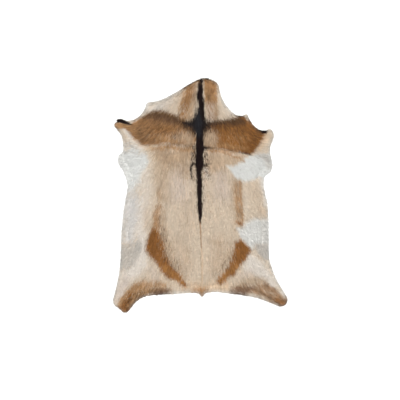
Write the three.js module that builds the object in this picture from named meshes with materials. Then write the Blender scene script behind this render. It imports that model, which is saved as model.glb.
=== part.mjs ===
import * as THREE from "three";

// A goatskin rug: one whole hide with its hair on, lying flat with the hair side up. The neck points towards
// +Y and the tail towards -Y, the four leg stubs lie out to the sides, and the flesh side is on z = 0.
// Sizes are in millimetres.

const HAIR_DEPTH = 8.5; // the floor to the top of the lying hair, on the back
const LUMP_HEIGHT = 0.9; // unevenness of the lying hair
const RIM_HEIGHT = 1.8; // hair tips at the rim, which drape over the edge of the skin
const RIM_ROUNDING = 30; // width over which the hair rises from the rim to its full depth
const RIM_STEEPNESS = 2.4; // 1 is a straight slope, more is rounder
const LOCK_WIDTH = 16; // one hair lock of the rim to the next
const ROOT_DIP = 1.2; // how far the rim is drawn in between two locks

const UNDER_TUCK = 7; // the flesh side starts this far in from the tips of the rim's hair
const EDGE_ROWS = [6.5, 15, 27]; // rows of top points along the rim, measured in from it
const ROW_GAPS = [4, 9, 9]; // the least distance between their points
const TOP_GRID = 18; // spacing of the points inside those rows
const UNDER_GRID = 42;
const GRID_GAP = 0.62; // the least distance of a grid point from another, as a share of the spacing
const LINE_STEP = 13; // spacing of the points along a hair line
const LINE_GAP = 6;
const LINE_SIDES = [0, 0.55, -0.55]; // on the line and to both sides of it, as shares of its reach
const GRID_JITTER = 1.2; // moves each grid point a little, so that no four lie on one circle

// The outline, counter-clockwise from the middle of the neck's end. Each stretch gives its points as [x, y],
// the last one being its end, and how far the tips of its hair locks stand out.
const OUTLINE = [
  { stretch: "neck end, left half", lock: 1.5, points: [[-11, 460], [-62, 431]] },
  { stretch: "neck, left side", lock: 2,
    points: [[-87, 414], [-119, 398], [-148, 384], [-183, 373], [-212, 369]] },
  { stretch: "left shoulder", lock: 2, points: [[-222, 343], [-251, 309]] },
  { stretch: "left front leg, neck side", lock: 1.5, points: [[-292, 297], [-320, 305], [-335, 300]] },
  { stretch: "left front leg, end", lock: 0, points: [[-331, 292], [-341, 288], [-343, 276]] },
  { stretch: "left front leg, belly side", lock: 2,
    points: [[-331, 260], [-315, 237], [-309, 212], [-307, 175]] },
  { stretch: "left elbow tuft", lock: 5, points: [[-321, 158], [-327, 142], [-324, 123], [-312, 107]] },
  { stretch: "left waist", lock: 2.5, points: [[-292, 53], [-290, 27]] },
  { stretch: "left belly", lock: 3, points: [[-304, -50], [-314, -171], [-316, -235]] },
  { stretch: "left flank", lock: 3, points: [[-324, -317], [-342, -394]] },
  { stretch: "left hind leg, outer side", lock: 1.5, points: [[-348, -423], [-342, -440]] },
  { stretch: "left hind leg, end", lock: 1, points: [[-326, -452], [-301, -471], [-288, -465]] },
  { stretch: "left hind leg, inner side", lock: 2, points: [[-271, -445], [-252, -424], [-228, -409]] },
  { stretch: "rump, left half", lock: 3, points: [[-190, -401], [-100, -396], [-24, -391]] },
  { stretch: "tail", lock: 0, points: [[-3, -395], [8, -408], [18, -395], [34, -390]] },
  { stretch: "rump, right half", lock: 3, points: [[66, -387], [110, -392], [174, -399], [225, -409]] },
  { stretch: "right hind leg, inner side", lock: 2, points: [[270, -427], [324, -445]] },
  { stretch: "right hind leg, end", lock: 1, points: [[343, -437], [349, -415]] },
  { stretch: "right hind leg, outer side", lock: 1.5, points: [[337, -391], [319, -362]] },
  { stretch: "right flank", lock: 3, points: [[299, -324], [287, -292], [277, -260], [273, -203]] },
  { stretch: "right belly", lock: 3, points: [[273, -139], [269, -43], [257, 19]] },
  { stretch: "right waist", lock: 2.5, points: [[253, 51], [258, 75], [274, 87]] },
  { stretch: "right elbow tuft", lock: 4, points: [[285, 103], [287, 123], [284, 142]] },
  { stretch: "right front leg, belly side", lock: 2, points: [[279, 183], [289, 218], [295, 237]] },
  { stretch: "right front leg, end", lock: 0, points: [[291, 252], [281, 264]] },
  { stretch: "right front leg, neck side", lock: 1.5,
    points: [[262, 258], [238, 261], [213, 280], [196, 306], [188, 324]] },
  { stretch: "right shoulder", lock: 1.5, points: [[169, 317], [142, 321]] },
  { stretch: "neck, right side", lock: 2, points: [[111, 349], [89, 384], [78, 416], [70, 445]] },
  { stretch: "neck end, right half", lock: 1.5, points: [[34, 466], [8, 467]] },
];

// Where the dried hide doesn't lie quite flat: leg ends and some edges stand a little off the floor.
const LIFTS = [
  { place: "neck end", x: 5, y: 480, reach: 105, height: 7 },
  { place: "left front leg", x: -350, y: 295, reach: 95, height: 11 },
  { place: "right front leg", x: 305, y: 255, reach: 85, height: 9 },
  { place: "left elbow tuft", x: -335, y: 135, reach: 60, height: 4 },
  { place: "left belly edge", x: -325, y: -225, reach: 80, height: 7 },
  { place: "right belly edge", x: 285, y: -205, reach: 75, height: 6 },
  { place: "left hind leg", x: -325, y: -470, reach: 100, height: 9 },
  { place: "right hind leg", x: 350, y: -440, reach: 95, height: 8 },
  { place: "tail tuft", x: 8, y: -415, reach: 45, height: 4 },
];

// Lines along which the lying hair rises or parts: how far each reaches to its sides, and its height above
// the coat.
const HAIR_LINES = [
  { place: "ridge along the back", reach: 20, height: 1.5, line: [[6, 440], [0, 270], [-4, 60], [-2, -90]] },
  { place: "parting over the rump", reach: 16, height: -1.4, line: [[-1, -100], [6, -220], [5, -370]] },
  { place: "crease behind the left shoulder", reach: 15, height: -1.8, line: [[-150, 204], [-20, 182]] },
  { place: "crease behind the right shoulder", reach: 15, height: -2.2,
    line: [[15, 184], [100, 177], [215, 160]] },
  { place: "hair over the left crease", reach: 25, height: 1.4, line: [[-160, 232], [-25, 210]] },
  { place: "hair over the right crease", reach: 25, height: 1.6, line: [[25, 210], [215, 188]] },
  { place: "left front leg", reach: 30, height: 1.2, line: [[-310, 282], [-190, 250]] },
  { place: "right front leg", reach: 30, height: 1.2, line: [[265, 238], [170, 230]] },
  { place: "left hind leg", reach: 34, height: 1.2, line: [[-300, -430], [-190, -330]] },
  { place: "right hind leg", reach: 34, height: 1.2, line: [[310, -408], [200, -320]] },
  { place: "left whorl", reach: 18, height: -1.6, line: [[-28, 124], [-30, 105]] },
  { place: "right whorl", reach: 18, height: -1.6, line: [[26, 122], [34, 105]] },
];

// A repeatable number from 0 to 1 for each whole number.
const scatter = (n) => {
  const value = Math.sin(n * 12.9898 + 4.1) * 43758.5453;
  return value - Math.floor(value);
};

// 1 at the middle, falling smoothly to 0 at the reach and staying there.
const hump = (distance, reach) => (distance < reach ? (1 - (distance / reach) ** 2) ** 2 : 0);

const distanceToLine = (x, y, line) => {
  let nearest = Infinity;
  for (let i = 1; i < line.length; i += 1) {
    const [ax, ay] = line[i - 1];
    const [bx, by] = line[i];
    const along = ((x - ax) * (bx - ax) + (y - ay) * (by - ay)) / ((bx - ax) ** 2 + (by - ay) ** 2);
    const share = THREE.MathUtils.clamp(along, 0, 1);
    nearest = Math.min(nearest, Math.hypot(x - ax - share * (bx - ax), y - ay - share * (by - ay)));
  }
  return nearest;
};

// The rim: the outline as one smooth closed curve, cut into half locks. Every second point is a lock's tip,
// pushed out, and the points between are where two locks meet. The ends of the stretches stay where they are.
const makeRim = () => {
  const points = OUTLINE.flatMap((part) => part.points).map(([x, y]) => new THREE.Vector3(x, y, 0));
  const curve = new THREE.CatmullRomCurve3(points, true, "centripetal");
  const fineSteps = 40;
  const rim = [];
  let start = -1;
  for (const { points: own, lock } of OUTLINE) {
    const fine = fineSteps * own.length;
    const track = Array.from({ length: fine + 1 }, (_, i) =>
      curve.getPoint(((start + (i / fine) * own.length) / points.length + 1) % 1));
    const run = [0];
    for (let i = 1; i <= fine; i += 1) {
      run.push(run[i - 1] + track[i].distanceTo(track[i - 1]));
    }
    const steps = 2 * Math.max(1, Math.round(run[fine] / LOCK_WIDTH));
    for (let step = 1, i = 1; step <= steps; step += 1) {
      while (i < fine && run[i] < (run[fine] * step) / steps) {
        i += 1;
      }
      const before = track[i - 1];
      const after = track[Math.min(i + 1, fine)];
      const outward = new THREE.Vector3(after.y - before.y, before.x - after.x, 0).normalize();
      const chance = scatter(rim.length);
      const lean = step % 2 === 1 ? lock * chance : -ROOT_DIP * chance;
      const push = step === steps || lock === 0 ? 0 : lean;
      rim.push({ x: track[i].x + push * outward.x, y: track[i].y + push * outward.y, outward });
    }
    start += own.length;
  }
  return rim;
};

const rim = makeRim();
const rimLine = [...rim, rim[0]].map((point) => [point.x, point.y]);
const rimDistance = (x, y) => distanceToLine(x, y, rimLine);

const isInside = (x, y) => {
  let inside = false;
  for (let i = 1; i < rimLine.length; i += 1) {
    const [ax, ay] = rimLine[i - 1];
    const [bx, by] = rimLine[i];
    if (ay > y !== by > y && x < ax + ((y - ay) * (bx - ax)) / (by - ay)) {
      inside = !inside;
    }
  }
  return inside;
};

// Height of the flesh side above the floor.
const liftAt = (x, y) =>
  Math.max(...LIFTS.map((lift) => lift.height * hump(Math.hypot(x - lift.x, y - lift.y), lift.reach)));

// Thickness of skin and lying hair together, with lumps drawn out along the back.
const depthAt = (x, y) => {
  const lumps = Math.sin(x / 17 + Math.sin(y / 61)) * Math.sin(y / 39 + 0.8 * Math.sin(x / 47));
  const swells = Math.sin(x / 43 - y / 97 + 1.3) * Math.cos(y / 71 + 0.4);
  const lines = HAIR_LINES.map(({ line, reach, height }) => height * hump(distanceToLine(x, y, line), reach));
  return lines.reduce((sum, height) => sum + height, HAIR_DEPTH + LUMP_HEIGHT * (lumps + 0.7 * swells));
};

const topAt = (x, y) => {
  const fromRim = Math.min(1, rimDistance(x, y) / RIM_ROUNDING);
  const roundness = 1 - (1 - fromRim) ** RIM_STEEPNESS;
  return liftAt(x, y) + RIM_HEIGHT + (depthAt(x, y) - RIM_HEIGHT) * roundness;
};

// Points inside the rim, in order of importance. One that is too near the rim or an earlier one is left out.
const scatterPoints = (groups) => {
  const kept = [];
  for (const { points, gap, fromRim } of groups) {
    for (const [x, y] of points) {
      const free = kept.every((other) => Math.hypot(x - other.x, y - other.y) > gap);
      if (free && isInside(x, y) && rimDistance(x, y) > fromRim) {
        kept.push({ x, y });
      }
    }
  }
  return kept;
};

const edgeRow = (inset, every) =>
  rim.filter((_, n) => n % every === 0)
    .map(({ x, y, outward }) => [x - inset * outward.x, y - inset * outward.y]);

const lineRow = ({ line, reach }) => {
  const curve = new THREE.CatmullRomCurve3(line.map(([x, y]) => new THREE.Vector3(x, y, 0)));
  const steps = Math.max(1, Math.round(curve.getLength() / LINE_STEP));
  return Array.from({ length: steps + 1 }, (_, i) => {
    const middle = curve.getPointAt(i / steps);
    const along = curve.getTangentAt(i / steps);
    return LINE_SIDES.map((side) => [middle.x - side * reach * along.y, middle.y + side * reach * along.x]);
  }).flat();
};

const grid = (spacing) => {
  const box = new THREE.Box3().setFromPoints(rim.map((point) => new THREE.Vector3(point.x, point.y, 0)));
  const rowHeight = spacing * Math.sin(Math.PI / 3);
  const points = [];
  for (let row = 0; box.min.y + row * rowHeight < box.max.y; row += 1) {
    for (let x = box.min.x + (row % 2) * (spacing / 2); x < box.max.x; x += spacing) {
      const n = points.length;
      const y = box.min.y + row * rowHeight;
      points.push([x + GRID_JITTER * scatter(n), y + GRID_JITTER * scatter(n + 0.5)]);
    }
  }
  return points;
};

const circleThrough = (points, corners) => {
  const [a, b, c] = corners.map((i) => points[i]);
  const double = 2 * ((b.x - a.x) * (c.y - a.y) - (c.x - a.x) * (b.y - a.y));
  const ab = (b.x - a.x) ** 2 + (b.y - a.y) ** 2;
  const ac = (c.x - a.x) ** 2 + (c.y - a.y) ** 2;
  const dx = ((c.y - a.y) * ab - (b.y - a.y) * ac) / double;
  const dy = ((b.x - a.x) * ac - (c.x - a.x) * ab) / double;
  return { corners, x: a.x + dx, y: a.y + dy, radius: Math.hypot(dx, dy) };
};

// Delaunay's triangles between the points, counter-clockwise: each new point replaces the triangles whose
// circles hold it. It starts from one triangle far around them all, and only triangles inside the rim are kept.
const triangulate = (points) => {
  const far = 100000;
  const all = [...points, { x: -far, y: -far }, { x: far, y: -far }, { x: 0, y: far }];
  const count = points.length;
  let triangles = [circleThrough(all, [count, count + 1, count + 2])];
  points.forEach((point, n) => {
    const edges = new Map();
    triangles = triangles.filter((triangle) => {
      if (Math.hypot(point.x - triangle.x, point.y - triangle.y) >= triangle.radius) {
        return true;
      }
      triangle.corners.forEach((from, k) => {
        const to = triangle.corners[(k + 1) % 3];
        if (!edges.delete(`${to} ${from}`)) {
          edges.set(`${from} ${to}`, [from, to]);
        }
      });
      return false;
    });
    for (const [from, to] of edges.values()) {
      triangles.push(circleThrough(all, [from, to, n]));
    }
  });
  return triangles.map((triangle) => triangle.corners).filter((corners) => {
    const [a, b, c] = corners.map((i) => all[i]);
    return Math.max(...corners) < count && isInside((a.x + b.x + c.x) / 3, (a.y + b.y + c.y) / 3);
  });
};

const nearRim = 0.7; // a row's point may come this share of its inset near the rim in a hollow
const lastRow = EDGE_ROWS.at(-1);
const topPoints = scatterPoints([
  ...EDGE_ROWS.map((inset, row) => ({
    points: edgeRow(inset, row === 0 ? 1 : 2), gap: ROW_GAPS[row], fromRim: inset * nearRim,
  })),
  { points: HAIR_LINES.flatMap(lineRow), gap: LINE_GAP, fromRim: lastRow },
  { points: grid(TOP_GRID), gap: TOP_GRID * GRID_GAP, fromRim: lastRow },
]);
const underPoints = scatterPoints([
  { points: edgeRow(UNDER_TUCK, 2), gap: LOCK_WIDTH / 2, fromRim: UNDER_TUCK * nearRim },
  { points: grid(UNDER_GRID), gap: UNDER_GRID * GRID_GAP, fromRim: UNDER_GRID / 2 },
]);

// One closed shell: the rim, the hair side and the flesh side.
const makeHide = () => {
  const under = rim.length + topPoints.length;
  const vertices = [
    ...rim.map(({ x, y }) => [x, y, liftAt(x, y) + RIM_HEIGHT]),
    ...topPoints.map(({ x, y }) => [x, y, topAt(x, y)]),
    ...underPoints.map(({ x, y }) => [x, y, liftAt(x, y)]),
  ];
  const topFaces = triangulate([...rim, ...topPoints]);
  const underFaces = triangulate([...rim, ...underPoints]).map((corners) =>
    corners.map((i) => (i < rim.length ? i : i - rim.length + under)).reverse());
  const geometry = new THREE.BufferGeometry();
  geometry.setAttribute("position", new THREE.Float32BufferAttribute(vertices.flat(), 3));
  geometry.setIndex([...topFaces, ...underFaces].flat());
  geometry.computeVertexNormals();
  geometry.computeBoundingBox();
  return geometry;
};

const hair = new THREE.MeshStandardMaterial({ name: "goat hair", color: 0xc8b59c, roughness: 0.85 });
const hide = new THREE.Mesh(makeHide(), hair);
hide.name = "hide";

// The origin is under the middle of the hide's box.
const middle = hide.geometry.boundingBox.getCenter(new THREE.Vector3());
hide.position.set(-middle.x, -middle.y, 0);

const goatskin = new THREE.Group();
goatskin.add(hide);

export default goatskin;
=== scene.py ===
"""A tanned goatskin with its hair on, laid flat as a rug.

Laid out as a Blender 4.5 add-on and run as a script. The tables below are in mm, with X to the right and Y
towards the neck, from the middle of the hide; every Blender object is in metres in the same frame.
"""

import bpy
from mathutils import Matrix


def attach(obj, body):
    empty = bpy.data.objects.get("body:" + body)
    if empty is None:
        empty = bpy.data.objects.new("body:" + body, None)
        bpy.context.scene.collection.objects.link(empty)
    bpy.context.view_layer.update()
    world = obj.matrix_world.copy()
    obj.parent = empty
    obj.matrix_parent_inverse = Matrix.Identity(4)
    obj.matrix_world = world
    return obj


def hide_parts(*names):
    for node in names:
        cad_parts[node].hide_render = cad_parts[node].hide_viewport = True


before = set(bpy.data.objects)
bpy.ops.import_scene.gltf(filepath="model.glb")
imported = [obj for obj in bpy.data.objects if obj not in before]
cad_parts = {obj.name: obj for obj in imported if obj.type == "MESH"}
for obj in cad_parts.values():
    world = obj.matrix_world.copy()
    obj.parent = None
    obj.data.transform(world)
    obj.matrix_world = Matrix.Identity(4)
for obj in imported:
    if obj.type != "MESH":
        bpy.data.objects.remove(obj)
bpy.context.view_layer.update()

import copy
import functools
import math

import bmesh
import bpy
import numpy as np
from bpy.props import FloatProperty, FloatVectorProperty, IntProperty, PointerProperty
from mathutils import Vector, geometry, kdtree
from mathutils.bvhtree import BVHTree

bl_info = {
    "name": "Hair-on Goatskin Rug",
    "version": (1, 0, 0),
    "blender": (4, 5, 0),
    "location": "3D View > Sidebar > Goatskin",
    "description": "Lays out a tanned goatskin and grows its coat lock by lock",
    "category": "Add Mesh",
}

# A mm in metres, and the names of the body, the hide and the hair at its edge

MM = 0.001
BODY = "root"
HIDE = "hide"
RIM_HAIR = "rim_hair"


def linear_rgb(code):
    """Turn an sRGB hex colour into linear light."""
    parts = [int(code[i:i + 2], 16) / 255 for i in (1, 3, 5)]
    return tuple(v / 12.92 if v <= 0.04045 else ((v + 0.055) / 1.055) ** 2.4 for v in parts)


def tone(name, code, description):
    """Return a colour setting whose default is an sRGB hex colour."""
    return FloatVectorProperty(
        name=name, description=description, subtype="COLOR", size=3, min=0, max=1, default=linear_rgb(code)
    )


def length_mm(name, value, description):
    """Return a length setting whose default is given in mm."""
    return FloatProperty(name=name, description=description, default=value * MM, min=0, unit="LENGTH")


def number(name, value, description, least=0, most=1000):
    """Return a setting that is a plain number."""
    return FloatProperty(name=name, description=description, default=value, min=least, max=most)


# Settings

class HideSkinSettings(bpy.types.PropertyGroup):
    """The tanned skin under the hair."""
    thickness: length_mm("Thickness", 1.3, "Thickness of the tanned skin")
    inset: length_mm("Inset", 3.0, "How far the skin's cut edge lies inside the ends of the hair")
    grid: length_mm("Grid", 8.0, "Distance between the skin's points")
    suede: tone("Suede", "#E2D5BE", "Flesh side, buffed to a pale suede")
    suede_shade: tone("Suede shade", "#CDBB9C", "Thicker and greyer places of the flesh side")
    suede_edge: tone("Suede edge", "#C9AE7E", "Dry yellow edge of the flesh side")


class HideCoatSettings(bpy.types.PropertyGroup):
    """The hair that covers the hide."""
    spacing: length_mm("Root spacing", 2.0, "Distance between the roots of neighbouring locks")
    length: length_mm("Lock length", 25.0, "Length of a lock on the back")
    width: length_mm("Lock width", 2.0, "Width of a lock at its middle")
    clump: length_mm("Clump size", 6.5, "Width of the clumps that the tips of the locks gather in")
    gather: number("Gather", 0.1, "Share of the way that tips move towards the middle of a clump", most=1)
    rim_spacing: length_mm("Rim spacing", 1.7, "Distance between the locks along the edge of the hide")
    overhang: length_mm("Overhang", 1.5, "How far the tips of the hair pass the edge of the hide")
    seed: IntProperty(name="Seed", description="Start of the random numbers", default=7, min=0)


class HideCoatTones(bpy.types.PropertyGroup):
    """The colours of the hair."""
    cream: tone("Cream", "#CEBEAA", "Ground colour of the whole coat")
    rose: tone("Rose cream", "#C9BAAE", "Cooler patches of the upper back and the thighs")
    pale: tone("Pale", "#DCD4CA", "Pale cream of the throat, thighs and flanks")
    white: tone("White", "#D6D7D4", "White of the elbows and flanks")
    off_white: tone("Off-white", "#CFCCC8", "Slightly soiled white of the left belly")
    grey: tone("Grey", "#B7B2AB", "Grey shade on the throat, in the armpits and on the belly")
    peach: tone("Peach", "#D2B99D", "Warm cream of the rump, the parting and the leg strips")
    sand: tone("Sand", "#C8B49E", "Fawn wash on the middle of the back and the loins")
    light_tan: tone("Light tan", "#B1997F", "Light tan of the withers, and between the bands and the back")
    tan: tone("Tan", "#A47F59", "Brushes of the neck, and the left hind leg")
    fawn: tone("Fawn", "#926D4A", "Left shoulder and right hind leg")
    ochre: tone("Ochre", "#A17242", "Orange lower ends of the bands, and the tail")
    brown: tone("Brown", "#875A30", "Bands on the left flank and both loins")
    chestnut: tone("Chestnut", "#85592F", "Right shoulder")
    # Umber also paints the shade in the creases across the shoulders
    umber: tone("Umber", "#4E3A29", "Dark tops of the shoulders, and the creases")
    smoke: tone("Smoke", "#6C5342", "Grey-brown haze beside the black cross and on the hind legs")
    soot: tone("Soot", "#1C1411", "Arms of the cross over the shoulders, and the whorls")
    slate: tone("Slate", "#26272B", "Cooler black in the middle of the cross")
    black: tone("Black", "#1A0F0E", "Stripe along the back")
    # The rim tone is the grey of the painted shade along the hide's edge
    rim: tone("Rim", "#B9BAB8", "Grey tint of the thin hair along the edge")


class HideStageSettings(bpy.types.PropertyGroup):
    """Floor, lights and camera."""
    floor: tone("Floor", "#EFEEEC", "Pale floor")
    frame_width: length_mm("Frame width", 1600, "Width of the floor that the camera sees")
    focal_length: number("Focal length", 80, "Lens of the camera in mm", least=20)
    dome: number("Dome light", 1.55, "Strength of the light from all sides")
    key: number("Key light", 30, "Power of the large lamp overhead in W")


# Markings of the coat

# Each row has a place, a tone, the softness of its edge in mm, a strength, a kind and points in mm. A patch
# has corners (x, y). A line has points (x, y, half its width). Ticks are a line in which only some locks
# take the tone. A rim is a line that is read right at the edge of the hide. Each row is laid over the last.

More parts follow.
